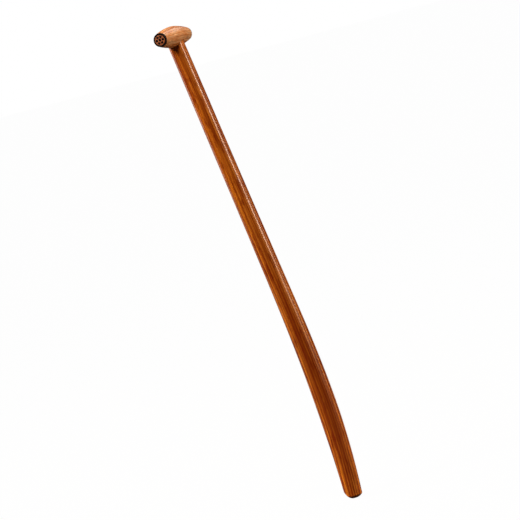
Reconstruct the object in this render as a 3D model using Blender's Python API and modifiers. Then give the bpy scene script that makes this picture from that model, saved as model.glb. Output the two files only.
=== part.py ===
"""Wooden T-grip tool shaft: a tapered, gently bent shaft with a turned barrel grip across its top.

Metres, +Z up. The origin is the centre of the shaft's lower end face and +Z runs up the lower
end's axis. The shaft bends in the XZ plane, so its top leans towards -X, and the grip lies
along Y.
"""
import math

import bmesh
import bpy
import numpy as np
from mathutils import Matrix, Vector

# ---- driving dimensions ----------------------------------------------------------------------
AXIS_HEIGHT = 0.880          # along the shaft's centreline, from its lower end to the grip's axis
FIT_GAP = 0.0003             # clearance between touching pieces

# bend
BEND_START = 0.018           # straight stretch at the lower end
BEND_LENGTH = 0.380          # the curvature fades out over this length
BEND_ANGLE = math.radians(8.8)
BEND_EASE = 1.45             # above 1, so the bend starts firm and eases out up the shaft

# shaft: diameters at fractions of AXIS_HEIGHT
SHAFT_STATIONS = ((0.0, 0.0312), (0.08, 0.0350), (0.18, 0.0378), (0.51, 0.0330), (1.0, 0.0294))
END_FLAT_RADIUS = 0.0046     # flat middle of the lower end
END_ROLL_RADIUS = 0.0140     # outside the flat the end curves up to meet the side
BEVEL_WIDTH = 0.0146         # across the end, on the -X side
BEVEL_ANGLE = math.radians(46.0)
SHOULDER_DROP = 0.0085       # shoulder sits this far below the grip's axis
TENON_DIAMETER = 0.0190
TENON_TOP = 0.0095           # tenon reaches this far above the grip's axis
TENON_CHAMFER = 0.0015

# grip
GRIP_LENGTH = 0.1290
GRIP_MID_DIAMETER = 0.0380
GRIP_END_DIAMETER = 0.0240
GRIP_SWELL_POWER = 1.60

# end trim: a ring over each end of the grip, forming its rim, around six pegs and a centre peg
RING_INNER_DIAMETER = 0.0182
RING_DEPTH = 0.0024
RING_EDGE_RADIUS = 0.0006
PEG_CIRCLE_DIAMETER = 0.0116
OUTER_PEG_COUNT = 6
FIRST_PEG_ANGLE = math.radians(35.0)   # from straight up the shaft
OUTER_PEG_DIAMETER = 0.0044
CENTRE_PEG_DIAMETER = 0.0050
PEG_DEPTH = 0.0080
PEG_RECESS = 0.0002          # pegs finish this far below the end grain

# cross pin through grip and tenon, driven from the -X side
PIN_DIAMETER = 0.0050
PIN_FAR_END = 0.0125         # it stops this far past the shaft's axis, inside the +X wall
PIN_HEAD_SINK = 0.0006

# facets
SHAFT_SIDES = 36
GRIP_SIDES = 40
PEG_SIDES = 12
SHAFT_RINGS = 30
END_RINGS = 5
GRIP_RINGS = 20
RING_EDGE_STEPS = 3
GUIDE_POINTS = 120

# cutters
PEG_CUTTER_PROUD = 0.002     # peg hole cutters start this far outside the end face
PIN_CUTTER_PROUD = 0.010     # pin hole cutters start this far outside the pin's head
BEVEL_CUTTER_SIZE = 0.060
SEAT_FLARE = 0.0006          # the seat's radius opens by this much on its way down


# ---- scene and helpers -----------------------------------------------------------------------
def clear_scene():
    for obj in list(bpy.data.objects):
        bpy.data.objects.remove(obj, do_unlink=True)


def new_collection(name):
    collection = bpy.data.collections.new(name)
    bpy.context.scene.collection.children.link(collection)
    return collection


def make_material(name, colour, roughness, metallic=0.0):
    material = bpy.data.materials.new(name)
    material.use_nodes = True
    shader = material.node_tree.nodes["Principled BSDF"]
    shader.inputs["Base Color"].default_value = (*colour, 1.0)
    shader.inputs["Roughness"].default_value = roughness
    shader.inputs["Metallic"].default_value = metallic
    material.diffuse_color = (*colour, 1.0)
    return material


def add_object(name, mesh, collection, material=None):
    obj = bpy.data.objects.new(name, mesh)
    collection.objects.link(obj)
    if material:
        mesh.materials.append(material)
    return obj


def turned_object(name, profile, sides, collection, material=None, closed=False):
    """Screw a profile of (radius, height) points, listed down its outer side, around Z."""
    mesh = bpy.data.meshes.new(name)
    points = [(radius, 0.0, height) for radius, height in profile]
    edges = [(i, i + 1) for i in range(len(points) - 1)]
    if closed:
        edges.append((len(points) - 1, 0))
    mesh.from_pydata(points, edges, [])
    obj = add_object(name, mesh, collection, material)
    screw = obj.modifiers.new("turn", "SCREW")
    screw.axis = "Z"
    screw.angle = math.tau
    screw.steps = sides
    screw.render_steps = sides
    screw.use_merge_vertices = True
    screw.merge_threshold = 0.00001
    screw.use_smooth_shade = True
    return obj


def as_cutter(obj):
    obj.hide_render = True
    obj.display_type = "WIRE"
    return obj


def cut(target, cutter):
    boolean = target.modifiers.new("cut_" + cutter.name, "BOOLEAN")
    boolean.operation = "DIFFERENCE"
    boolean.solver = "EXACT"
    boolean.object = cutter


def cylinder(name, diameter, depth, sides, matrix, collection, material=None):
    """A closed cylinder centred on matrix, its axis along the matrix's Z."""
    mesh = bpy.data.meshes.new(name)
    shape = bmesh.new()
    bmesh.ops.create_cone(
        shape, cap_ends=True, segments=sides, radius1=diameter / 2, radius2=diameter / 2,
        depth=depth)
    shape.to_mesh(mesh)
    shape.free()
    obj = add_object(name, mesh, collection, material)
    obj.matrix_world = matrix
    return obj


# ---- centreline ------------------------------------------------------------------------------
def lean_at(length):
    """The centreline's lean from +Z towards -X, at a length along it from the lower end."""
    fraction = min(max((length - BEND_START) / BEND_LENGTH, 0.0), 1.0)
    return BEND_ANGLE * (1.0 - (1.0 - fraction) ** BEND_EASE)


def centreline(total, count):
    """Points along the centreline from the origin, at equal steps of length."""
    step = total / count
    points = [Vector((0.0, 0.0, 0.0))]
    for i in range(count):
        lean = lean_at((i + 0.5) * step)
        points.append(points[-1] + step * Vector((-math.sin(lean), 0.0, math.cos(lean))))
    return points


def grip_frame():
    """The grip's place: origin on its axis over the shaft, Z up the shaft, Y along the grip."""
    centre = centreline(AXIS_HEIGHT, GUIDE_POINTS)[-1]
    return Matrix.Translation(centre) @ Matrix.Rotation(-BEND_ANGLE, 4, "Y")


def shaft_radius(length):
    """A smooth taper through SHAFT_STATIONS, as cubic stretches, level at the thickest one."""
    places = np.array([fraction * AXIS_HEIGHT for fraction, _ in SHAFT_STATIONS])
    radii = np.array([diameter / 2 for _, diameter in SHAFT_STATIONS])
    slopes = np.gradient(radii, places)
    slopes[np.argmax(radii)] = 0.0
    i = int(np.clip(np.searchsorted(places, length) - 1, 0, len(places) - 2))
    span = places[i + 1] - places[i]
    t = (length - places[i]) / span
    return ((2 * t**3 - 3 * t**2 + 1) * radii[i] + (t**3 - 2 * t**2 + t) * span * slopes[i]
            + (3 * t**2 - 2 * t**3) * radii[i + 1] + (t**3 - t**2) * span * slopes[i + 1])


def grip_radius(fraction):
    """The barrel's radius at a fraction of its half length from the middle."""
    swell = (GRIP_MID_DIAMETER - GRIP_END_DIAMETER) / 2
    return GRIP_END_DIAMETER / 2 + swell * (1.0 - abs(fraction) ** GRIP_SWELL_POWER)


# ---- the shaft -------------------------------------------------------------------------------
def shaft_profile():
    shoulder = AXIS_HEIGHT - SHOULDER_DROP
    tenon_top = AXIS_HEIGHT + TENON_TOP
    tenon = TENON_DIAMETER / 2
    points = [(0.0, tenon_top), (tenon - TENON_CHAMFER, tenon_top), (tenon, tenon_top - TENON_CHAMFER),
              (tenon, shoulder)]
    points.append((shaft_radius(shoulder), shoulder))
    rim = roll_height(shaft_radius(0.0))
    for i in range(1, SHAFT_RINGS + 1):
        height = shoulder + (rim - shoulder) * i / SHAFT_RINGS
        points.append((shaft_radius(height), height))
    for i in range(1, END_RINGS + 1):
        radius = shaft_radius(0.0) + (END_FLAT_RADIUS - shaft_radius(0.0)) * i / END_RINGS
        points.append((radius, roll_height(radius)))
    points.append((0.0, 0.0))
    return points


def roll_height(radius):
    """Height of the rolled lower end at a radius from its axis."""
    beyond = max(radius - END_FLAT_RADIUS, 0.0)
    return END_ROLL_RADIUS - math.sqrt(END_ROLL_RADIUS**2 - beyond**2)


def bend_guide(collection):
    """A hidden curve along the centreline that the straight turning is bent to."""
    total = AXIS_HEIGHT + TENON_TOP
    curve = bpy.data.curves.new("bend_guide", "CURVE")
    curve.dimensions = "3D"
    curve.twist_mode = "MINIMUM"
    spline = curve.splines.new("POLY")
    points = centreline(total, GUIDE_POINTS)
    spline.points.add(len(points) - 1)
    for point, place in zip(spline.points, points):
        point.co = (*place, 1.0)
    guide = bpy.data.objects.new("bend_guide", curve)
    collection.objects.link(guide)
    return as_cutter(guide)


def bevel_cutter(collection):
    """A block whose sloping face takes the corner off the lower end's -X side."""
    corner = Vector((BEVEL_WIDTH - shaft_radius(0.0), 0.0, 0.0))
    turn = Matrix.Rotation(BEVEL_ANGLE, 4, "Y")
    mesh = bpy.data.meshes.new("bevel_cutter")
    shape = bmesh.new()
    bmesh.ops.create_cube(shape, size=BEVEL_CUTTER_SIZE)
    bmesh.ops.translate(shape, verts=shape.verts, vec=(0.0, 0.0, -BEVEL_CUTTER_SIZE / 2))
    bmesh.ops.transform(shape, matrix=Matrix.Translation(corner) @ turn, verts=shape.verts)
    shape.to_mesh(mesh)
    shape.free()
    return as_cutter(add_object("bevel_cutter", mesh, collection))


def make_shaft(parts, cutters, frame, material):
    shaft = turned_object("shaft", shaft_profile(), SHAFT_SIDES, parts, material)
    bend = shaft.modifiers.new("bend", "CURVE")
    bend.object = bend_guide(cutters)
    bend.deform_axis = "POS_Z"
    cut(shaft, bevel_cutter(cutters))
    cut(shaft, pin_cutter("shaft_pin_hole", cutters, frame))


# ---- the grip --------------------------------------------------------------------------------
def grip_profile():
    """The barrel, with a spigot at each end for its ring, listed down the outer side."""
    half = GRIP_LENGTH / 2
    spigot = RING_INNER_DIAMETER / 2 - FIT_GAP
    shoulder = half - RING_DEPTH - FIT_GAP
    points = [(0.0, half), (spigot, half), (spigot, shoulder)]
    for i in range(GRIP_RINGS + 1):
        height = shoulder * (1.0 - 2.0 * i / GRIP_RINGS)
        points.append((grip_radius(height / half), height))
    return points + [(spigot, -shoulder), (spigot, -half), (0.0, -half)]


def mortise_cutter(collection, frame):
    """The blind mortise for the tenon and, below it, the wider seat for the shaft's end."""
    tenon = TENON_DIAMETER / 2 + FIT_GAP
    seat = shaft_radius(AXIS_HEIGHT - SHOULDER_DROP) + FIT_GAP
    seat_roof = -SHOULDER_DROP + FIT_GAP
    mortise_roof = TENON_TOP + FIT_GAP
    below = -GRIP_MID_DIAMETER
    profile = [(0.0, mortise_roof), (tenon, mortise_roof), (tenon, seat_roof), (seat, seat_roof),
               (seat + SEAT_FLARE, below), (0.0, below)]
    cutter = turned_object("mortise_cutter", profile, SHAFT_SIDES, collection)
    cutter.matrix_world = frame
    return as_cutter(cutter)


def peg_places():
    """Centres of the outer pegs in an end face, evenly round it from the first one."""
    radius = PEG_CIRCLE_DIAMETER / 2
    angles = [FIRST_PEG_ANGLE + math.tau * i / OUTER_PEG_COUNT for i in range(OUTER_PEG_COUNT)]
    return [(radius * math.sin(angle), radius * math.cos(angle)) for angle in angles]


def peg_matrix(face, across, up, height):
    """A peg's or a peg hole's middle, turned to keep its corners off the end face's spokes."""
    turn = Matrix.Rotation(math.pi / GRIP_SIDES, 4, "Z")
    return face @ Matrix.Translation((across, up, height)) @ turn


def peg_hole_cutters(end, collection, face):
    depth = PEG_RECESS + PEG_DEPTH + FIT_GAP + PEG_CUTTER_PROUD
    cutters = []
    wanted = [("centre", CENTRE_PEG_DIAMETER, (0.0, 0.0))]
    wanted += [(str(i), OUTER_PEG_DIAMETER, place) for i, place in enumerate(peg_places())]
    for label, diameter, (across, up) in wanted:
        middle = peg_matrix(face, across, up, PEG_CUTTER_PROUD - depth / 2)
        hole = cylinder(f"{end}_peg_hole_{label}", diameter + 2 * FIT_GAP, depth, PEG_SIDES,
                        middle, collection)
        cutters.append(as_cutter(hole))
    return cutters


def end_frame(frame, side):
    """An end face's frame: its Z points out of the grip's end, its Y up the shaft.

    side is -1 for the front end, towards -Y, and +1 for the rear end.
    """
    turn = Matrix.Rotation(-side * math.pi / 2, 4, "X")
    flip = Matrix.Rotation(math.pi if side > 0 else 0.0, 4, "Z")
    return frame @ Matrix.Translation((0.0, side * GRIP_LENGTH / 2, 0.0)) @ turn @ flip


def make_grip(parts, cutters, frame, material):
    grip = turned_object("grip", grip_profile(), GRIP_SIDES, parts, material)
    grip.matrix_world = frame @ Matrix.Rotation(math.pi / 2, 4, "X")
    cut(grip, mortise_cutter(cutters, frame))
    cut(grip, pin_cutter("grip_pin_hole", cutters, frame))
    for end, side in (("front", -1), ("rear", 1)):
        face = end_frame(frame, side)
        for hole in peg_hole_cutters(end, cutters, face):
            cut(grip, hole)


# ---- the cross pin ---------------------------------------------------------------------------
def pin_length():
    return GRIP_MID_DIAMETER / 2 - PIN_HEAD_SINK + PIN_FAR_END


def pin_matrix(frame, length, far_end):
    """A cylinder along the grip frame's X whose +X end is at far_end."""
    middle = Matrix.Translation((far_end - length / 2, 0.0, 0.0))
    return frame @ middle @ Matrix.Rotation(math.pi / 2, 4, "Y")


def pin_cutter(name, collection, frame):
    length = pin_length() + PIN_CUTTER_PROUD
    far_end = PIN_FAR_END + FIT_GAP
    hole = cylinder(name, PIN_DIAMETER + 2 * FIT_GAP, length, PEG_SIDES,
                    pin_matrix(frame, length, far_end), collection)
    return as_cutter(hole)


def make_pin(parts, frame, material):
    matrix = pin_matrix(frame, pin_length(), PIN_FAR_END)
    cylinder("grip_pin", PIN_DIAMETER, pin_length(), PEG_SIDES, matrix, parts, material)


# ---- the end trim ----------------------------------------------------------------------------
def make_ring(end, parts, face, material):
    """The ring that forms a grip end's rim, its outside carrying on the barrel's taper."""
    inner = RING_INNER_DIAMETER / 2
    edge = RING_EDGE_RADIUS
    outer = grip_radius(1.0)
    back = grip_radius(1.0 - RING_DEPTH / (GRIP_LENGTH / 2))
    profile = [(inner, -RING_DEPTH), (inner, 0.0)]
    for i in range(RING_EDGE_STEPS + 1):
        angle = math.pi / 2 * i / RING_EDGE_STEPS
        profile.append((outer - edge + edge * math.sin(angle), -edge + edge * math.cos(angle)))
    profile.append((back, -RING_DEPTH))
    ring = turned_object(f"{end}_end_ring", profile, GRIP_SIDES, parts, material, closed=True)
    ring.matrix_world = face


def make_pegs(end, parts, face, material):
    """The centre peg and the outer ones, numbered round the end."""
    middle_depth = -PEG_RECESS - PEG_DEPTH / 2
    cylinder(f"{end}_centre_peg", CENTRE_PEG_DIAMETER, PEG_DEPTH, PEG_SIDES,
             peg_matrix(face, 0.0, 0.0, middle_depth), parts, material)
    for i, (across, up) in enumerate(peg_places()):
        place = peg_matrix(face, across, up, middle_depth)
        cylinder(f"{end}_outer_peg_{i + 1}", OUTER_PEG_DIAMETER, PEG_DEPTH, PEG_SIDES, place,
                 parts, material)


# ---- build -----------------------------------------------------------------------------------
def build():
    clear_scene()
    parts = new_collection("t_grip_tool_shaft")
    cutters = new_collection("cutters")
    frame = grip_frame()

    shaft_wood = make_material("shaft_wood", (0.26, 0.085, 0.022), 0.38)
    grip_wood = make_material("grip_wood", (0.55, 0.27, 0.11), 0.42)
    pin_steel = make_material("pin_steel", (0.45, 0.43, 0.40), 0.40, metallic=1.0)

    make_shaft(parts, cutters, frame, shaft_wood)
    make_grip(parts, cutters, frame, grip_wood)
    make_pin(parts, frame, pin_steel)
    for end, side in (("front", -1), ("rear", 1)):
        face = end_frame(frame, side)
        ring_wood = make_material(f"{end}_ring_wood", (0.012, 0.007, 0.005), 0.45)
        peg_wood = make_material(f"{end}_peg_wood", (0.020, 0.010, 0.007), 0.50)
        make_ring(end, parts, face, ring_wood)
        make_pegs(end, parts, face, peg_wood)


build()
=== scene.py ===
"""The looks of the wooden T-grip tool shaft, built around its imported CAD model.

Metres, in the CAD's frame: the lower end's centre is the origin, +Z runs up the shaft and the
grip lies along Y.
"""
import math

import bmesh
import bpy
import numpy as np
from mathutils import Matrix, Vector


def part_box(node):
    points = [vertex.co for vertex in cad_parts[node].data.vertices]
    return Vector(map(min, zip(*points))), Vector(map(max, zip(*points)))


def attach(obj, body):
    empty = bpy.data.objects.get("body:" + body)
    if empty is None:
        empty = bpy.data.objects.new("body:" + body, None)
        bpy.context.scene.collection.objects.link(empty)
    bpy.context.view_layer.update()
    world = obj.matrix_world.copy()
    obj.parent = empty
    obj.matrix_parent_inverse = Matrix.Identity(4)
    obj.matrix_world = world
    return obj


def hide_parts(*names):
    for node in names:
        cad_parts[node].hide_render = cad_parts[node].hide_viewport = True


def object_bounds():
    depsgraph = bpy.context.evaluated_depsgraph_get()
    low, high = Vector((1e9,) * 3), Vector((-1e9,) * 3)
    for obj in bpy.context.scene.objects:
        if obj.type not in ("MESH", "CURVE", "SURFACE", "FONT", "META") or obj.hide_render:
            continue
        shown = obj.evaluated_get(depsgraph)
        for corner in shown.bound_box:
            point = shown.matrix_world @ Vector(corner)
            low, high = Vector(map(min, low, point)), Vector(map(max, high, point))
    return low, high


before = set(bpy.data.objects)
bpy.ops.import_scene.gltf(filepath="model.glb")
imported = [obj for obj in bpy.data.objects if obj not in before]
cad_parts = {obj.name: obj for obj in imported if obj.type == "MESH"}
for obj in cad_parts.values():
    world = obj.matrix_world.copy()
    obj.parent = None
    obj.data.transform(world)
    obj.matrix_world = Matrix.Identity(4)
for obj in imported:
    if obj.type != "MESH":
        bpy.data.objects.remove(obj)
cad_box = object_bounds()

# ---- the CAD's driving dimensions, repeated ---------------------------------------------------
AXIS_HEIGHT = 0.880
BEND_START = 0.018
BEND_LENGTH = 0.380
BEND_ANGLE = math.radians(8.8)
BEND_EASE = 1.45
SHAFT_STATIONS = ((0.0, 0.0312), (0.08, 0.0350), (0.18, 0.0378), (0.51, 0.0330), (1.0, 0.0294))
END_FLAT_RADIUS = 0.0046
END_ROLL_RADIUS = 0.0140
BEVEL_WIDTH = 0.0146
BEVEL_SLOPE = math.tan(math.radians(46.0))
SHOULDER_DROP = 0.0085
TENON_RADIUS = 0.0095
TENON_TOP = 0.0095
TENON_CHAMFER = 0.0015
GRIP_MID_RADIUS = 0.0190
GRIP_END_RADIUS = 0.0120
GRIP_SWELL_POWER = 1.60
RING_INNER_RADIUS = 0.0091
OUTER_PEG_COUNT = 6
PIN_FAR_END = 0.0125

# ---- fine shape -------------------------------------------------------------------------------
JOINT_GAP = 0.00015          # between touching pieces
SMOOTH_ANGLE = math.radians(32.0)        # edges sharper than this stay crisp
LINE_POINTS = 1801
LINE_BEYOND = 0.020          # the centreline is carried on this far past the grip's axis
SHAFT_SIDES = 72
SHAFT_RING_STEP = 0.0035
FOOT_RINGS = 14              # side rings below FOOT_TOP
FOOT_TOP = 0.040             # above this the shaft's rings are square to it
FOOT_RING_CROWDING = 1.3     # above 1, so those rings crowd towards the base
FOOT_CAP_RINGS = 18
FOOT_CREASE = 0.0012         # how softly the base turns into the bevel
FOOT_EDGE = 0.0008           # sanded edge
BARE_TO = 0.3                # across that edge, bare wood up to this share of it
LACQUER_FROM = 0.8           # and full lacquer from this share on
SETTLING_ROUNDS = 6          # rounds that a place is worked out again from the last guess
SHAVING = 0.00005            # the hand shaving's waviness
# each wave's share, its length up the shaft, its turns round it and its phase
SHAVING_WAVES = ((1.0, 0.310, 1, 0.7), (0.6, 0.137, -2, 2.1), (0.4, 0.083, 3, 4.0))
GRIP_SIDES = 96
GRIP_RING_STEP = 0.0022
BARE_FACE_DEPTH = 0.0004     # the grip's end faces are bare wood down to this depth
BARE_FACE_FADE = 0.0003
RING_EDGE = 0.0006           # round its outside
RING_EDGE_STEPS = 7
RING_BORE_EDGE = 0.0002      # round its bore
RING_BORE_STEPS = 3
SHOULDER_EDGE = 0.0003       # the barrel's edge behind the ring
SHOULDER_EDGE_TURN = 84.0    # degrees, where that edge meets the barrel's slope
SHOULDER_EDGE_STEPS = 4
SEAT_FLARE = 0.0002          # the seat's radius opens by this much on its way down
PEG_DOME = 0.00022
PEG_SIDES = 28
PEG_CUTTER_PROUD = 0.002     # peg hole cutters start this far outside the end face
PIN_DOME = 0.0005
PIN_CUTTER_LENGTH = 0.050    # from the pin's blind end to well outside the grip
DOME_STEPS = 5

# ---- wood -------------------------------------------------------------------------------------
# Colours are linear. Each strength is how far its pattern moves the colour, from 0 to 1. The
# pith is the middle of the growth rings, in metres from the piece's own axis.
SHAFT_LOOK = {
    "pith": (0.052, 0.030, 0.0), "ring_spacing": 0.0046, "warp": 0.0050,
    "light": (0.700, 0.190, 0.014), "base": (0.520, 0.115, 0.004), "dark": (0.175, 0.011, 0.0003),
    "end": (0.220, 0.070, 0.012), "line_strength": 0.95, "pale_strength": 0.45,
    "broad_strength": 0.60, "streak_strength": 0.70, "mottle_strength": 0.70,
    "roughness": 0.29, "coat": 0.06, "coat_roughness": 0.12, "specular": 0.40,
    "specular_tint": (1.0, 0.62, 0.36),
}
# The grip's "end" colour is darkened far below its wood as painted shade on its end faces.
GRIP_LOOK = {
    "pith": (0.020, -0.060, 0.0), "ring_spacing": 0.0030, "warp": 0.0030,
    "light": (0.900, 0.440, 0.180), "base": (0.730, 0.240, 0.055), "dark": (0.380, 0.080, 0.010),
    "end": (0.100, 0.028, 0.024), "line_strength": 0.75, "pale_strength": 0.30,
    "broad_strength": 0.25, "streak_strength": 0.50, "mottle_strength": 0.15,
    "roughness": 0.42, "coat": 0.12, "coat_roughness": 0.20, "specular": 0.30,
    "specular_tint": (1.0, 0.85, 0.70),
}
# Painted shade: a darker band down the shaft's side that faces this azimuth, towards the front.
SHADED_SIDE_AZIMUTH = math.radians(17.0)       # the side darkened as painted shade faces this way
SHADED_SIDE_STRENGTH = 0.62

# Ramps with height up the shaft: from this height, to this height, value at each.
LINE_CLEARNESS = (0.42, 0.62, 1.0, 0.45)
SHADED_SIDE_CLEARNESS = (0.03, 0.16, 0.30, 1.0)
# Painted light: the shaft's colour brightened low down, towards its foot.
FOOT_PAINTED_LIGHT = (0.0, 0.30, 1.42, 1.03)

# How fine each pattern is, in repeats per metre: across the grain twice, then along it.
DRIFT_GRAIN = (22.0, 22.0, 2.6)
BROAD_GRAIN = (34.0, 34.0, 4.2)
MOTTLE_GRAIN = (140.0, 140.0, 36.0)
STREAK_GRAIN = (210.0, 210.0, 6.0)
FIBRE_GRAIN = (950.0, 950.0, 13.0)
SPECKLE_GRAIN = (2100.0, 2100.0, 85.0)
EBONY_GRAIN = (1500.0, 1500.0, 60.0)
STEEL_CLOUDS = (700.0, 700.0, 700.0)     # the same along all three axes
YEAR_UNEVENNESS = 1.6        # how many years' width the rings' spacing wanders

LACQUER_RELIEF = 0.00002
EBONY_RELIEF = 0.00005
STEEL_RELIEF = 0.0001

EBONY_BLACK, EBONY_BROWN = (0.003, 0.001, 0.0007), (0.018, 0.004, 0.002)
STEEL_BRIGHT, STEEL_DULL = (0.48, 0.46, 0.43), (0.24, 0.20, 0.16)

# ---- floor, light and camera --------------------------------------------------------------------
FLOOR_RADIUS = 150.0
FLOOR_SIDES = 64
FLOOR_DROP = 0.0008          # below the shaft's lower end
FLOOR_COLOUR = (0.10, 0.09, 0.075)
FLOOR_GLOW = 1.06            # what the camera sees of the floor is mostly this even white
FLOOR_GLOW_SHARE = 0.93
AMBIENT = 0.010              # the world's strength as a light
LIGHT_AIM = Vector((-0.06, 0.0, 0.40))
LIGHT_DISTANCE = 4.0
# Degrees, metres and watts. "lights" is whether it falls on surfaces, "shines" whether it shows
# in their gloss.
#          name                azimuth  elevation  width  height  watts  lights  shines
LIGHTS = (("left_panel",       -85.0,   38.0,      0.9,   1.2,    70.0,  True,   False),
          ("left_rim",         -104.0,  0.0,       1.8,   3.4,    44.0,  True,   True),
          ("left_high",        -45.0,   42.0,      0.8,   0.8,    124.0, True,   True),
          ("front_high",       35.0,    60.0,      0.8,   0.8,    102.0, True,   True),
          ("rear_right",       118.0,   0.0,       1.2,   3.4,    156.0, True,   False),
          ("rear_sheen",       118.0,   0.0,       1.4,   3.4,    50.0,  False,  True),
          ("rear_high",        166.0,   38.0,      1.8,   1.8,    24.0,  True,   True))
STRIP = ("right_strip",        88.0,    0.0,       0.46,  0.9,    84.0,  False,  True)
STRIP_HEIGHT = 1.42          # the strip is aimed this high

CAMERA_AZIMUTH = 20.87       # degrees, as the lights' are
CAMERA_ELEVATION = 4.92
CAMERA_ROLL = math.radians(-14.91)
CAMERA_DISTANCE = 4.5
CAMERA_LENS = 175.6          # millimetres, as its sensor
CAMERA_SENSOR = 36.0
CAMERA_SIGHT = 500.0         # metres, past the floor's far edge
CAMERA_AIM_OFFSET = Vector((-0.0025, 0.0, 0.0062))     # from the middle of the CAD's box


# ---- centreline and tapers ----------------------------------------------------------------------
def lean_at(length):
    """The centreline's lean from +Z towards -X, at lengths along it from the lower end."""
    fraction = np.clip((length - BEND_START) / BEND_LENGTH, 0.0, 1.0)
    return BEND_ANGLE * (1.0 - (1.0 - fraction) ** BEND_EASE)


def centreline():
    """Lengths along the centreline in fine equal steps, and its x and z there."""
    lengths = np.linspace(0.0, AXIS_HEIGHT + LINE_BEYOND, LINE_POINTS)
    step = lengths[1]
    lean = lean_at(lengths[1:] - step / 2)
    x = np.concatenate([[0.0], np.cumsum(-np.sin(lean) * step)])
    z = np.concatenate([[0.0], np.cumsum(np.cos(lean) * step)])
    return lengths, x, z


LINE = centreline()


def bent(across, side, length):
    """Points at offsets across (towards +X) and side (towards +Y) from the centreline."""
    lean = lean_at(length)
    x = np.interp(length, LINE[0], LINE[1]) + across * np.cos(lean)
    z = np.interp(length, LINE[0], LINE[2]) + across * np.sin(lean)
    return np.stack([x, side + 0.0 * x, z], axis=-1)


def shaft_radius(length):
    """The CAD's smooth taper through SHAFT_STATIONS."""
    places = np.array([fraction * AXIS_HEIGHT for fraction, _ in SHAFT_STATIONS])
    radii = np.array([diameter / 2 for _, diameter in SHAFT_STATIONS])
    slopes = np.gradient(radii, places)
    slopes[np.argmax(radii)] = 0.0
    i = np.clip(np.searchsorted(places, length) - 1, 0, len(places) - 2)
    span = places[i + 1] - places[i]
    t = (length - places[i]) / span
    return ((2 * t**3 - 3 * t**2 + 1) * radii[i] + (t**3 - 2 * t**2 + t) * span * slopes[i]
            + (3 * t**2 - 2 * t**3) * radii[i + 1] + (t**3 - t**2) * span * slopes[i + 1])


def grip_radius(fraction):
    """The barrel's radius at fractions of its half length from the middle."""
    swell = GRIP_MID_RADIUS - GRIP_END_RADIUS
    return GRIP_END_RADIUS + swell * (1.0 - np.abs(fraction) ** GRIP_SWELL_POWER)


# ---- mesh helpers -------------------------------------------------------------------------------
def circle(sides):
    """Cosines and sines of equal steps round a circle."""
    angles = np.arange(sides) * math.tau / sides
    return np.cos(angles), np.sin(angles)


def lofted(name, rings, first_middle, last_middle):
    """A closed mesh through rings of points, each end closed by a fan to its middle point."""
    sides = len(rings[0])
    points = np.concatenate([*rings, [first_middle], [last_middle]])
    faces = []
    for i in range(len(rings) - 1):
        for j in range(sides):
            k = (j + 1) % sides
            faces.append((i * sides + j, i * sides + k, (i + 1) * sides + k, (i + 1) * sides + j))
    first, last = len(points) - 2, len(points) - 1
    base = (len(rings) - 1) * sides
    for j in range(sides):
        k = (j + 1) % sides
        faces.append((first, k, j))
        faces.append((last, base + j, base + k))
    mesh = bpy.data.meshes.new(name)
    mesh.from_pydata([tuple(point) for point in points], [], faces)
    mesh.update()
    obj = bpy.data.objects.new(name, mesh)
    bpy.context.scene.collection.objects.link(obj)
    return obj


def turned(name, profile, sides, matrix):
    """A closed turning around the matrix's Z, from (radius, height) points listed downward."""
    across, side = circle(sides)
    rings = [np.stack([radius * across, radius * side, 0 * across + height], axis=-1)
             for radius, height in profile]
    obj = lofted(name, rings[::-1], (0.0, 0.0, profile[-1][1]), (0.0, 0.0, profile[0][1]))
    obj.data.transform(matrix)
    return obj


def turned_ring(name, profile, sides, matrix):
    """A ring turned around the matrix's Z from a closed profile, listed down its outer side."""
    across, side = circle(sides)
    count = len(profile)
    points = [(radius * across[j], radius * side[j], height)
              for radius, height in profile for j in range(sides)]
    faces = []
    for i in range(count):
        below = (i + 1) % count
        for j in range(sides):
            k = (j + 1) % sides
            faces.append((i * sides + j, below * sides + j, below * sides + k, i * sides + k))
    mesh = bpy.data.meshes.new(name)
    mesh.from_pydata(points, [], faces)
    mesh.transform(matrix)
    obj = bpy.data.objects.new(name, mesh)
    bpy.context.scene.collection.objects.link(obj)
    return obj


def arc(centre_radius, centre_height, radius, start, end, steps):
    """Profile points round part of a circle, its angles in degrees from straight up, outward."""
    angles = np.radians(np.linspace(start, end, steps + 1))
    return [(centre_radius + radius * math.sin(angle), centre_height + radius * math.cos(angle))
            for angle in angles]


def dome(radius, rise, top):
    """Profile points of a shallow dome, from just off its middle out to its rim."""
    crown = (radius**2 + rise**2) / (2 * rise)
    reach = math.degrees(math.asin(radius / crown))
    return arc(0.0, top - crown, crown, reach / (DOME_STEPS + 1), reach, DOME_STEPS)


def cut(target, cutters):
    """Takes the cutters out of the target and deletes them."""
    for cutter in cutters:
        boolean = target.modifiers.new("cut", "BOOLEAN")
        boolean.operation = "DIFFERENCE"
        boolean.solver = "EXACT"
        boolean.object = cutter
    evaluated = target.evaluated_get(bpy.context.evaluated_depsgraph_get())
    mesh = bpy.data.meshes.new_from_object(evaluated)
    target.modifiers.clear()
    target.data = mesh
    for cutter in cutters:
        bpy.data.objects.remove(cutter, do_unlink=True)


def positions(obj):
    flat = np.empty(len(obj.data.vertices) * 3)
    obj.data.vertices.foreach_get("co", flat)
    return flat.reshape(-1, 3)


def store(obj, name, kind, values):
    """Keeps one value or vector for each vertex, for the materials to read."""
    attribute = obj.data.attributes.new(name, kind, "POINT")
    field = "vector" if kind == "FLOAT_VECTOR" else "value"
    attribute.data.foreach_set(field, np.asarray(values, dtype=np.float32).ravel())


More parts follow.
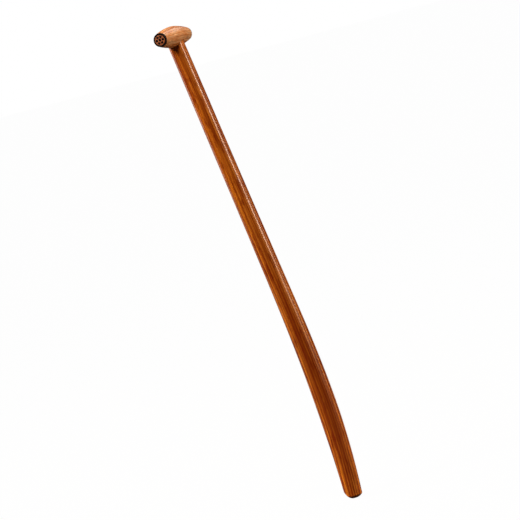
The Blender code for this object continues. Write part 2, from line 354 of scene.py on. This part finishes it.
def finish_piece(obj, node, material):
    """Smooths the piece, gives it its material and puts it in place of its CAD node."""
    obj.data.shade_smooth()
    obj.data.set_sharp_from_angle(angle=SMOOTH_ANGLE)
    obj.data.materials.clear()
    obj.data.materials.append(material)
    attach(obj, "root")
    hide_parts(node)


# ---- where the CAD has things -------------------------------------------------------------------
def box_middle(node):
    low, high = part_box(node)
    return (Vector(low) + Vector(high)) / 2


def half_height(node):
    low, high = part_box(node)
    return (high[2] - low[2]) / 2


def half_depth(node):
    low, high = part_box(node)
    return (high[1] - low[1]) / 2


def face_centre(node, side):
    """The middle of a peg's or ring's visible face, on the grip's end at -Y (-1) or +Y (1)."""
    centre = box_middle(node)
    return Vector((centre.x, side * (abs(centre.y) + half_depth(node)), centre.z))


ENDS = (("front", -1), ("rear", 1))
GRIP_HALF = half_depth("grip")
GRIP_FRAME = (Matrix.Translation((box_middle("front_end_ring") + box_middle("rear_end_ring")) / 2)
              @ Matrix.Rotation(-BEND_ANGLE, 4, "Y"))


def end_matrix(centre, side):
    """Puts a turning on a grip end: its Z points out of that end, and centre is its origin."""
    turn = Matrix.Rotation(-side * math.pi / 2, 4, "X")
    return Matrix.Translation(centre) @ Matrix.Rotation(-BEND_ANGLE, 4, "Y") @ turn


# ---- the shaft ----------------------------------------------------------------------------------
def roll_height(reach):
    """Height of the rolled lower end at distances from its axis."""
    beyond = np.clip(reach - END_FLAT_RADIUS, 0.0, END_ROLL_RADIUS)
    return END_ROLL_RADIUS - np.sqrt(END_ROLL_RADIUS**2 - beyond**2)


def foot_height(across, side):
    """Height of the rolled end and the bevel, the crease between them eased."""
    rolled = roll_height(np.hypot(across, side))
    slope = (BEVEL_WIDTH - shaft_radius(0.0) - across) * BEVEL_SLOPE
    ahead = slope - rolled
    eased = (ahead + FOOT_CREASE) ** 2 / (4 * FOOT_CREASE)
    return rolled + np.where(np.abs(ahead) < FOOT_CREASE, eased, np.maximum(ahead, 0.0))


def shaved(radius, length, angles):
    """The radius with the slight unevenness of a shaved and sanded surface."""
    wave = sum(share * np.sin(math.tau * length / span + lobes * angles + phase)
               for share, span, lobes, phase in SHAVING_WAVES)
    return radius - SHAVING * (1.0 + wave)


def base_rim(across, side, angles):
    """Heights and radii round the foot, where the side ends and the base's sanded edge begins."""
    rim = shaft_radius(FOOT_EDGE + 0 * across)
    for _ in range(SETTLING_ROUNDS):
        lip = foot_height(rim * across, rim * side) + FOOT_EDGE
        rim = shaved(shaft_radius(lip), lip, angles)
    return lip, rim


def base_rings(across, side, rim):
    """Rings across the base and round its sanded edge, and how bare the wood is on each."""
    rings, bareness = [], []
    for i in range(1, FOOT_CAP_RINGS + 1):
        reach = math.sin(math.pi / 2 * i / FOOT_CAP_RINGS) * rim
        into_edge = np.clip(reach - (rim - FOOT_EDGE), 0.0, FOOT_EDGE)
        height = foot_height(reach * across, reach * side)
        height += FOOT_EDGE - np.sqrt(FOOT_EDGE**2 - into_edge**2)
        rings.append(bent(reach * across, reach * side, height))
        bare = (LACQUER_FROM - into_edge / FOOT_EDGE) / (LACQUER_FROM - BARE_TO)
        bareness.append(np.clip(bare, 0.0, 1.0))
    return rings, bareness


def side_rings(across, side, angles, lip, shoulder):
    """Rings up the side, from the foot's uneven edge to the shoulder under the grip."""
    rise = np.arange(1, FOOT_RINGS + 1) / FOOT_RINGS
    heights = [lip + (FOOT_TOP - lip) * share**FOOT_RING_CROWDING for share in rise]
    count = round((shoulder - FOOT_TOP) / SHAFT_RING_STEP)
    heights += [FOOT_TOP + (shoulder - FOOT_TOP) * i / count + 0 * across
                for i in range(1, count + 1)]
    rings = []
    for height in heights:
        radius = shaved(shaft_radius(height), height, angles)
        rings.append(bent(radius * across, radius * side, height))
    return rings


def make_shaft(material):
    angles = np.arange(SHAFT_SIDES) * math.tau / SHAFT_SIDES
    across, side = circle(SHAFT_SIDES)
    lip, rim = base_rim(across, side, angles)
    rings, bareness = base_rings(across, side, rim)
    shoulder = AXIS_HEIGHT - SHOULDER_DROP
    rings += side_rings(across, side, angles, lip, shoulder)
    tenon_top = AXIS_HEIGHT + TENON_TOP
    for radius, height in ((TENON_RADIUS, shoulder), (TENON_RADIUS, tenon_top - TENON_CHAMFER),
                           (TENON_RADIUS - TENON_CHAMFER, tenon_top)):
        rings.append(bent(radius * across, radius * side, height + 0 * across))

    base_middle = bent(np.array(0.0), np.array(0.0), foot_height(0.0, 0.0))
    top_middle = bent(np.array(0.0), np.array(0.0), np.array(tenon_top))
    shaft = lofted("shaft_wooden", rings, base_middle, top_middle)
    lacquered = np.zeros(SHAFT_SIDES * (len(rings) - len(bareness)))
    store(shaft, "raw", "FLOAT", np.concatenate([*bareness, lacquered, [1.0], [0.0]]))
    cut(shaft, [pin_hole()])
    store_shaft_grain(shaft)
    finish_piece(shaft, "shaft", material)


def store_shaft_grain(shaft):
    """Each vertex's place in the straight piece of wood: across, side and length up it."""
    points = positions(shaft)
    length = np.interp(points[:, 2], LINE[2], LINE[0])
    for _ in range(SETTLING_ROUNDS):
        lean = lean_at(length)
        away_x = points[:, 0] - np.interp(length, LINE[0], LINE[1])
        away_z = points[:, 2] - np.interp(length, LINE[0], LINE[2])
        length = length - away_x * np.sin(lean) + away_z * np.cos(lean)
    across = away_x * np.cos(lean) + away_z * np.sin(lean)
    store(shaft, "grain", "FLOAT_VECTOR", np.stack([across, points[:, 1], length], axis=-1))


# ---- the grip -----------------------------------------------------------------------------------
def ring_depth():
    return 2 * half_depth("front_end_ring")


def grip_profile():
    """The barrel, with a spigot at each end that its ring fits over."""
    spigot = RING_INNER_RADIUS - JOINT_GAP
    shoulder = GRIP_HALF - ring_depth() - JOINT_GAP
    rim = float(grip_radius(shoulder / GRIP_HALF))
    half = [(spigot, GRIP_HALF), (spigot, shoulder)]
    half += arc(rim - SHOULDER_EDGE, shoulder - SHOULDER_EDGE, SHOULDER_EDGE,
                0.0, SHOULDER_EDGE_TURN, SHOULDER_EDGE_STEPS)
    count = round(2 * shoulder / GRIP_RING_STEP)
    barrel = []
    for i in range(1, count):
        height = shoulder * (1.0 - 2.0 * i / count)
        barrel.append((float(grip_radius(height / GRIP_HALF)), height))
    return half + barrel + [(radius, -height) for radius, height in half[::-1]]


def seat_cutter():
    """The blind mortise for the tenon, and the wider seat that the shaft's end fits into."""
    seat = float(shaft_radius(AXIS_HEIGHT - SHOULDER_DROP)) + JOINT_GAP
    tenon = TENON_RADIUS + JOINT_GAP
    roof = -SHOULDER_DROP + JOINT_GAP
    below = -2 * GRIP_MID_RADIUS
    profile = [(tenon, TENON_TOP + JOINT_GAP), (tenon, roof), (seat, roof),
               (seat + SEAT_FLARE, below)]
    return turned("seat_cutter", profile, SHAFT_SIDES, GRIP_FRAME)


def pin_matrix():
    """The pin's frame: origin at its blind end, Z out along it towards its head on the -X side."""
    return (GRIP_FRAME @ Matrix.Translation((PIN_FAR_END, 0.0, 0.0))
            @ Matrix.Rotation(-math.pi / 2, 4, "Y"))


def pin_radius():
    return half_depth("grip_pin")


def pin_hole():
    radius = pin_radius() + JOINT_GAP
    profile = [(radius, PIN_CUTTER_LENGTH), (radius, -JOINT_GAP)]
    return turned("pin_hole", profile, PEG_SIDES, pin_matrix())


def peg_nodes(end):
    outer = [f"{end}_outer_peg_{i + 1}" for i in range(OUTER_PEG_COUNT)]
    return [f"{end}_centre_peg", *outer]


def peg_hole(node, side):
    radius = half_height(node) + JOINT_GAP
    depth = 2 * half_depth(node) + JOINT_GAP
    profile = [(radius, PEG_CUTTER_PROUD), (radius, -depth)]
    return turned("peg_hole", profile, PEG_SIDES, end_matrix(face_centre(node, side), side))


def make_grip(material):
    grip = turned("grip_wooden", grip_profile(), GRIP_SIDES,
                  GRIP_FRAME @ Matrix.Rotation(math.pi / 2, 4, "X"))
    holes = [peg_hole(node, side) for end, side in ENDS for node in peg_nodes(end)]
    cut(grip, [seat_cutter(), pin_hole(), *holes])
    local = positions(grip) @ np.array(GRIP_FRAME.to_3x3())
    local -= np.array(GRIP_FRAME.to_3x3().transposed() @ GRIP_FRAME.translation)
    reach = np.hypot(local[:, 0], local[:, 2])
    depth = GRIP_HALF - np.abs(local[:, 1])
    on_face = np.clip((BARE_FACE_DEPTH - depth) / BARE_FACE_FADE, 0.0, 1.0)
    # the bare end faces, whose colour the material darkens as painted shade
    store(grip, "raw", "FLOAT", on_face * (reach < RING_INNER_RADIUS))
    store(grip, "grain", "FLOAT_VECTOR", local[:, [0, 2, 1]])
    finish_piece(grip, "grip", material)


# ---- inlays and pin -----------------------------------------------------------------------------
def finish_inlay(inlay, node, material):
    """Runs the inlay's grain along the grip, and finishes it."""
    store(inlay, "grain", "FLOAT_VECTOR", positions(inlay)[:, [0, 2, 1]])
    finish_piece(inlay, node, material)


def make_ring(end, side, material):
    """The ring that forms a grip end's rim, its outside carrying on the barrel's taper."""
    inner, bore, edge, depth = RING_INNER_RADIUS, RING_BORE_EDGE, RING_EDGE, ring_depth()
    outer = float(grip_radius(1.0))
    back = float(grip_radius(1.0 - depth / GRIP_HALF))
    profile = (arc(inner + bore, -bore, bore, -90.0, 0.0, RING_BORE_STEPS)
               + arc(outer - edge, -edge, edge, 0.0, 90.0, RING_EDGE_STEPS)
               + [(back, -depth), (inner, -depth)])
    node = f"{end}_end_ring"
    place = end_matrix(face_centre(node, side), side)
    ring = turned_ring(f"{node}_ebonised", profile, GRIP_SIDES, place)
    finish_inlay(ring, node, material)


def make_peg(node, side, material):
    radius = half_height(node)
    profile = dome(radius, PEG_DOME, 0.0) + [(radius, -2 * half_depth(node))]
    place = end_matrix(face_centre(node, side), side)
    finish_inlay(turned(f"{node}_ebonised", profile, PEG_SIDES, place), node, material)


def make_pin(material):
    radius = pin_radius()
    low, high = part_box("grip_pin")
    length = (high[0] - low[0]) / math.cos(BEND_ANGLE) - 2 * radius * math.tan(BEND_ANGLE)
    profile = dome(radius, PIN_DOME, length) + [(radius, 0.0)]
    pin = turned("grip_pin_steel", profile, PEG_SIDES, pin_matrix())
    finish_piece(pin, "grip_pin", material)


# ---- materials ----------------------------------------------------------------------------------
class Graph:
    """Short calls that add nodes to a new material and link them up."""

    def __init__(self, name):
        self.material = bpy.data.materials.new(name)
        self.material.use_nodes = True
        self.tree = self.material.node_tree
        self.shader = self.tree.nodes["Principled BSDF"]

    def put(self, socket, value):
        if isinstance(value, bpy.types.NodeSocket):
            self.tree.links.new(value, socket)
        elif value is not None:
            socket.default_value = value

    def add(self, kind, values=(), out=0, **settings):
        node = self.tree.nodes.new(kind)
        for key, value in settings.items():
            setattr(node, key, value)
        for socket, value in zip(node.inputs, values):
            self.put(socket, value)
        return node.outputs[out]

    def attribute(self, name, out):
        return self.add("ShaderNodeAttribute", attribute_name=name, out=out)

    def math(self, operation, *values):
        return self.add("ShaderNodeMath", values, operation=operation)

    def vector(self, operation, *values, out=0):
        return self.add("ShaderNodeVectorMath", values, operation=operation, out=out)

    def noise(self, place, scale, detail=3.0, roughness=0.6, out=0):
        """Noise whose grain is 1 / scale metres along each axis."""
        scaled = self.vector("MULTIPLY", place, scale)
        return self.add("ShaderNodeTexNoise", (scaled, None, 1.0, detail, roughness), out=out)

    def ramp(self, value, low, high, start=0.0, end=1.0):
        """A smooth step of the value from start at low to end at high."""
        return self.add("ShaderNodeMapRange", (value, low, high, start, end),
                        interpolation_type="SMOOTHSTEP")

    def band(self, value, start, full, leave, end):
        """0 up to start, 1 from full to leave, and 0 again from end."""
        return self.math("MULTIPLY", self.ramp(value, start, full),
                         self.ramp(value, leave, end, 1.0, 0.0))

    def mix(self, factor, first, second, blend="MIX"):
        node = self.tree.nodes.new("ShaderNodeMix")
        node.data_type = "RGBA"
        node.blend_type = blend
        self.put(node.inputs[0], factor)
        for socket, value in ((node.inputs[6], first), (node.inputs[7], second)):
            self.put(socket, (*value, 1.0) if isinstance(value, tuple) else value)
        return node.outputs[2]

    def towards(self, colour, other, share, strength):
        """The colour moved towards another by share times strength."""
        return self.mix(self.math("MULTIPLY", share, strength), colour, other)

    def brighten(self, colour, factor):
        grey = self.add("ShaderNodeCombineColor", (factor, factor, factor))
        return self.mix(1.0, colour, grey, "MULTIPLY")

    def bump(self, height, strength, distance):
        return self.add("ShaderNodeBump", (strength, distance, None, height))

    def surface(self, **inputs):
        for name, value in inputs.items():
            self.put(self.shader.inputs[name.replace("_", " ")], value)


def growth_rings(g, grain, look):
    """The wood's wandering grain, how far through its year each place is, and its early wood."""
    drift = g.noise(grain, DRIFT_GRAIN, 2.0, 0.5, out=1)
    drift = g.vector("SUBTRACT", drift, (0.5, 0.5, 0.5))
    drift = g.vector("MULTIPLY", drift, (look["warp"], look["warp"], 0.0))
    warped = g.vector("ADD", grain, drift)
    from_pith = g.vector("SUBTRACT", warped, look["pith"])
    flat = g.vector("MULTIPLY", from_pith, (1.0, 1.0, 0.0))
    reach = g.vector("LENGTH", flat, out=1)
    years = g.math("DIVIDE", reach, look["ring_spacing"])
    uneven = g.add("ShaderNodeTexNoise", (None, years, 0.45, 1.0, 0.5), noise_dimensions="1D")
    years = g.math("ADD", years, g.math("MULTIPLY", uneven, YEAR_UNEVENNESS))
    season = g.math("FRACT", years)
    return warped, season, g.band(season, 0.0, 0.05, 0.10, 0.42)


def stained_colour(g, grain, look):
    """The wood's base colour with its light and dark streaks, mottling and broad stains."""
    streak = g.noise(grain, STREAK_GRAIN, 3.0, 0.55)
    mottle = g.noise(grain, MOTTLE_GRAIN, 3.0, 0.60)
    broad = g.noise(grain, BROAD_GRAIN, 3.0, 0.55)
    colour = g.mix(g.ramp(streak, 0.45, 0.66), look["base"], look["light"])
    colour = g.towards(colour, look["dark"], g.ramp(streak, 0.52, 0.34), look["streak_strength"])
    colour = g.towards(colour, look["dark"], g.ramp(mottle, 0.50, 0.64), look["mottle_strength"])
    return g.towards(colour, look["dark"], g.ramp(broad, 0.42, 0.66), look["broad_strength"])


def lined_colour(g, colour, length, season, early, fibre, look):
    """The colour with dark early wood and pale late wood, clearer low on the shaft."""
    clear = g.ramp(length, *LINE_CLEARNESS)
    broken = g.math("MULTIPLY", clear, g.ramp(fibre, 0.25, 0.60, 0.55, 1.0))
    line = g.math("MULTIPLY", early, broken)
    colour = g.towards(colour, look["dark"], line, look["line_strength"])
    pale = g.math("MULTIPLY", g.band(season, 0.50, 0.66, 0.74, 0.94), clear)
    return g.towards(colour, look["light"], pale, look["pale_strength"])


def painted_shade_and_light(g, colour, warped, length, look):
    """Painted shade down the shaft's front, fainter low down, and painted light on its foot."""
    radius = GRIP_MID_RADIUS     # the shaft's own widest radius is close to the barrel's
    shaded_side_direction = (math.sin(SHADED_SIDE_AZIMUTH) / radius, -math.cos(SHADED_SIDE_AZIMUTH) / radius, 0.0)
    # painted shade, darkest on the side facing the set azimuth and fading low down
    facing = g.ramp(g.vector("DOT_PRODUCT", warped, shaded_side_direction, out=1), 0.70, 0.93)
    painted_shade = g.math("MULTIPLY", facing, g.ramp(length, *SHADED_SIDE_CLEARNESS))
    colour = g.towards(colour, look["dark"], painted_shade, SHADED_SIDE_STRENGTH)
    return g.brighten(colour, g.ramp(length, *FOOT_PAINTED_LIGHT))


def wood_material(name, look, has_painted_shade_and_light):
    """Lacquered hardwood: growth rings round an off-centre pith, fibres, pores and stain."""
    g = Graph(name)
    grain = g.attribute("grain", 1)
    raw = g.attribute("raw", 2)
    length = g.add("ShaderNodeSeparateXYZ", (grain,), out=2)
    warped, season, early = growth_rings(g, grain, look)
    fibre = g.noise(grain, FIBRE_GRAIN, 4.0, 0.65)
    speckle = g.noise(grain, SPECKLE_GRAIN, 2.0, 0.5)
    pores = g.math("MULTIPLY", g.ramp(speckle, 0.54, 0.66), g.math("ADD", early, 0.25))

    colour = stained_colour(g, grain, look)
    colour = lined_colour(g, colour, length, season, early, fibre, look)
    colour = g.brighten(colour, g.ramp(fibre, 0.30, 0.75, 0.68, 1.32))
    colour = g.towards(colour, look["dark"], pores, 0.65)
    # painted shade down the shaft's front, and painted light at its foot
    if has_painted_shade_and_light:
        colour = painted_shade_and_light(g, colour, warped, length, look)
    # bare end grain; on the grip its colour is painted shade on the end faces
    end_grain_and_shade = g.mix(g.ramp(fibre, 0.35, 0.65), look["end"], look["dark"])
    colour = g.towards(colour, end_grain_and_shade, raw, 0.8)

    sheen = g.ramp(fibre, 0.3, 0.7, look["roughness"] - 0.05, look["roughness"] + 0.06)
    relief = g.math("SUBTRACT", g.math("MULTIPLY", fibre, 0.5), g.math("MULTIPLY", pores, 0.8))
    relief = g.math("SUBTRACT", relief, g.math("MULTIPLY", early, 0.25))
    g.surface(Base_Color=colour, Roughness=g.math("ADD", sheen, g.math("MULTIPLY", raw, 0.25)),
              Normal=g.bump(relief, 0.3, LACQUER_RELIEF), Coat_Weight=look["coat"],
              Coat_Roughness=look["coat_roughness"], Specular_IOR_Level=look["specular"],
              Specular_Tint=(*look["specular_tint"], 1.0))
    return g.material


def inlay_material():
    """Ebonised wood: near black, with faint brown fibres and a satin face."""
    g = Graph("ebonised_wood")
    grain = g.attribute("grain", 1)
    fibre = g.noise(grain, EBONY_GRAIN, 3.0, 0.6)
    colour = g.mix(g.ramp(fibre, 0.35, 0.75), EBONY_BLACK, EBONY_BROWN)
    g.surface(Base_Color=colour, Roughness=g.ramp(fibre, 0.3, 0.7, 0.42, 0.58),
              Normal=g.bump(fibre, 0.25, EBONY_RELIEF), Specular_IOR_Level=0.08)
    return g.material


def steel_material():
    """Dulled steel, faintly clouded."""
    g = Graph("dulled_steel")
    place = g.add("ShaderNodeTexCoord", out=3)
    cloud = g.noise(place, STEEL_CLOUDS, 4.0, 0.6)
    colour = g.mix(g.ramp(cloud, 0.4, 0.7), STEEL_BRIGHT, STEEL_DULL)
    g.surface(Base_Color=colour, Metallic=1.0, Roughness=g.ramp(cloud, 0.3, 0.7, 0.28, 0.50),
              Normal=g.bump(cloud, 0.2, STEEL_RELIEF))
    return g.material


# ---- stage, light and camera --------------------------------------------------------------------
def make_floor():
    """A wide floor: almost white to the camera, dark to other light, and clear from below."""
    mesh = bpy.data.meshes.new("floor")
    shape = bmesh.new()
    bmesh.ops.create_circle(shape, cap_ends=True, segments=FLOOR_SIDES, radius=FLOOR_RADIUS)
    shape.to_mesh(mesh)
    shape.free()
    floor = bpy.data.objects.new("floor", mesh)
    floor.location.z = -FLOOR_DROP
    bpy.context.scene.collection.objects.link(floor)
    material = bpy.data.materials.new("pale_floor")
    material.use_nodes = True
    tree = material.node_tree
    tree.nodes.clear()
    add, link = tree.nodes.new, tree.links.new
    output = add("ShaderNodeOutputMaterial")
    seen = add("ShaderNodeLightPath").outputs["Is Camera Ray"]
    under = add("ShaderNodeNewGeometry").outputs["Backfacing"]
    diffuse, glow, clear = (add("ShaderNodeBsdfDiffuse"), add("ShaderNodeEmission"),
                            add("ShaderNodeBsdfTransparent"))
    diffuse.inputs["Color"].default_value = (*FLOOR_COLOUR, 1.0)
    glow.inputs["Strength"].default_value = FLOOR_GLOW
    share = add("ShaderNodeMath")
    share.operation = "MULTIPLY"
    share.inputs[1].default_value = FLOOR_GLOW_SHARE
    link(seen, share.inputs[0])
    lit = add("ShaderNodeMixShader")
    link(share.outputs[0], lit.inputs[0])
    link(diffuse.outputs[0], lit.inputs[1])
    link(glow.outputs[0], lit.inputs[2])
    whole = add("ShaderNodeMixShader")
    link(under, whole.inputs[0])
    link(lit.outputs[0], whole.inputs[1])
    link(clear.outputs[0], whole.inputs[2])
    link(whole.outputs[0], output.inputs["Surface"])
    mesh.materials.append(material)


def make_world():
    """White where the camera sees it, a dim even grey as light."""
    world = bpy.data.worlds.new("studio")
    bpy.context.scene.world = world
    world.use_nodes = True
    tree = world.node_tree
    background = tree.nodes["Background"]
    background.inputs["Color"].default_value = (1.0, 1.0, 1.0, 1.0)
    mix = tree.nodes.new("ShaderNodeMapRange")
    mix.inputs["To Min"].default_value = AMBIENT
    mix.inputs["To Max"].default_value = 1.0
    tree.links.new(tree.nodes.new("ShaderNodeLightPath").outputs["Is Camera Ray"], mix.inputs[0])
    tree.links.new(mix.outputs[0], background.inputs["Strength"])


def away(azimuth, elevation):
    """The direction away from the shaft at an azimuth, in degrees from the front, and height."""
    round_it, up = math.radians(azimuth), math.radians(elevation)
    return Vector((math.sin(round_it) * math.cos(up), -math.cos(round_it) * math.cos(up),
                   math.sin(up)))


def area_light(name, azimuth, elevation, width, height, watts, lights, shines, aim=LIGHT_AIM):
    light = bpy.data.lights.new(name, "AREA")
    light.shape = "RECTANGLE"
    light.size = width
    light.size_y = height
    light.energy = watts
    direction = away(azimuth, elevation)
    obj = bpy.data.objects.new(name, light)
    obj.location = aim + LIGHT_DISTANCE * direction
    obj.rotation_euler = (-direction).to_track_quat("-Z", "Y").to_euler()
    obj.visible_camera = False
    obj.visible_diffuse = lights
    obj.visible_glossy = shines
    bpy.context.scene.collection.objects.link(obj)


def make_lights():
    for light in LIGHTS:
        area_light(*light)
    area_light(*STRIP, aim=Vector((LIGHT_AIM.x, LIGHT_AIM.y, STRIP_HEIGHT)))


def make_camera():
    back = away(CAMERA_AZIMUTH, CAMERA_ELEVATION)
    right = away(CAMERA_AZIMUTH + 90.0, 0.0)
    turn = Matrix((right, back.cross(right), back)).transposed().to_4x4()
    aim = (Vector(cad_box[0]) + Vector(cad_box[1])) / 2 + CAMERA_AIM_OFFSET
    data = bpy.data.cameras.new("camera")
    data.lens = CAMERA_LENS
    data.sensor_width = CAMERA_SENSOR
    data.clip_end = CAMERA_SIGHT
    camera = bpy.data.objects.new("camera", data)
    camera.matrix_world = (Matrix.Translation(aim + CAMERA_DISTANCE * back) @ turn
                           @ Matrix.Rotation(CAMERA_ROLL, 4, "Z"))
    bpy.context.scene.collection.objects.link(camera)
    bpy.context.scene.camera = camera
    bpy.context.scene.view_settings.view_transform = "Standard"


# ---- everything ---------------------------------------------------------------------------------
make_camera()
make_world()
make_floor()
make_lights()

ebonised = inlay_material()
make_shaft(wood_material("red_brown_wood", SHAFT_LOOK, has_painted_shade_and_light=True))
make_grip(wood_material("golden_wood", GRIP_LOOK, has_painted_shade_and_light=False))
make_pin(steel_material())
for end, side in ENDS:
    make_ring(end, side, ebonised)
    for node in peg_nodes(end):
        make_peg(node, side, ebonised)
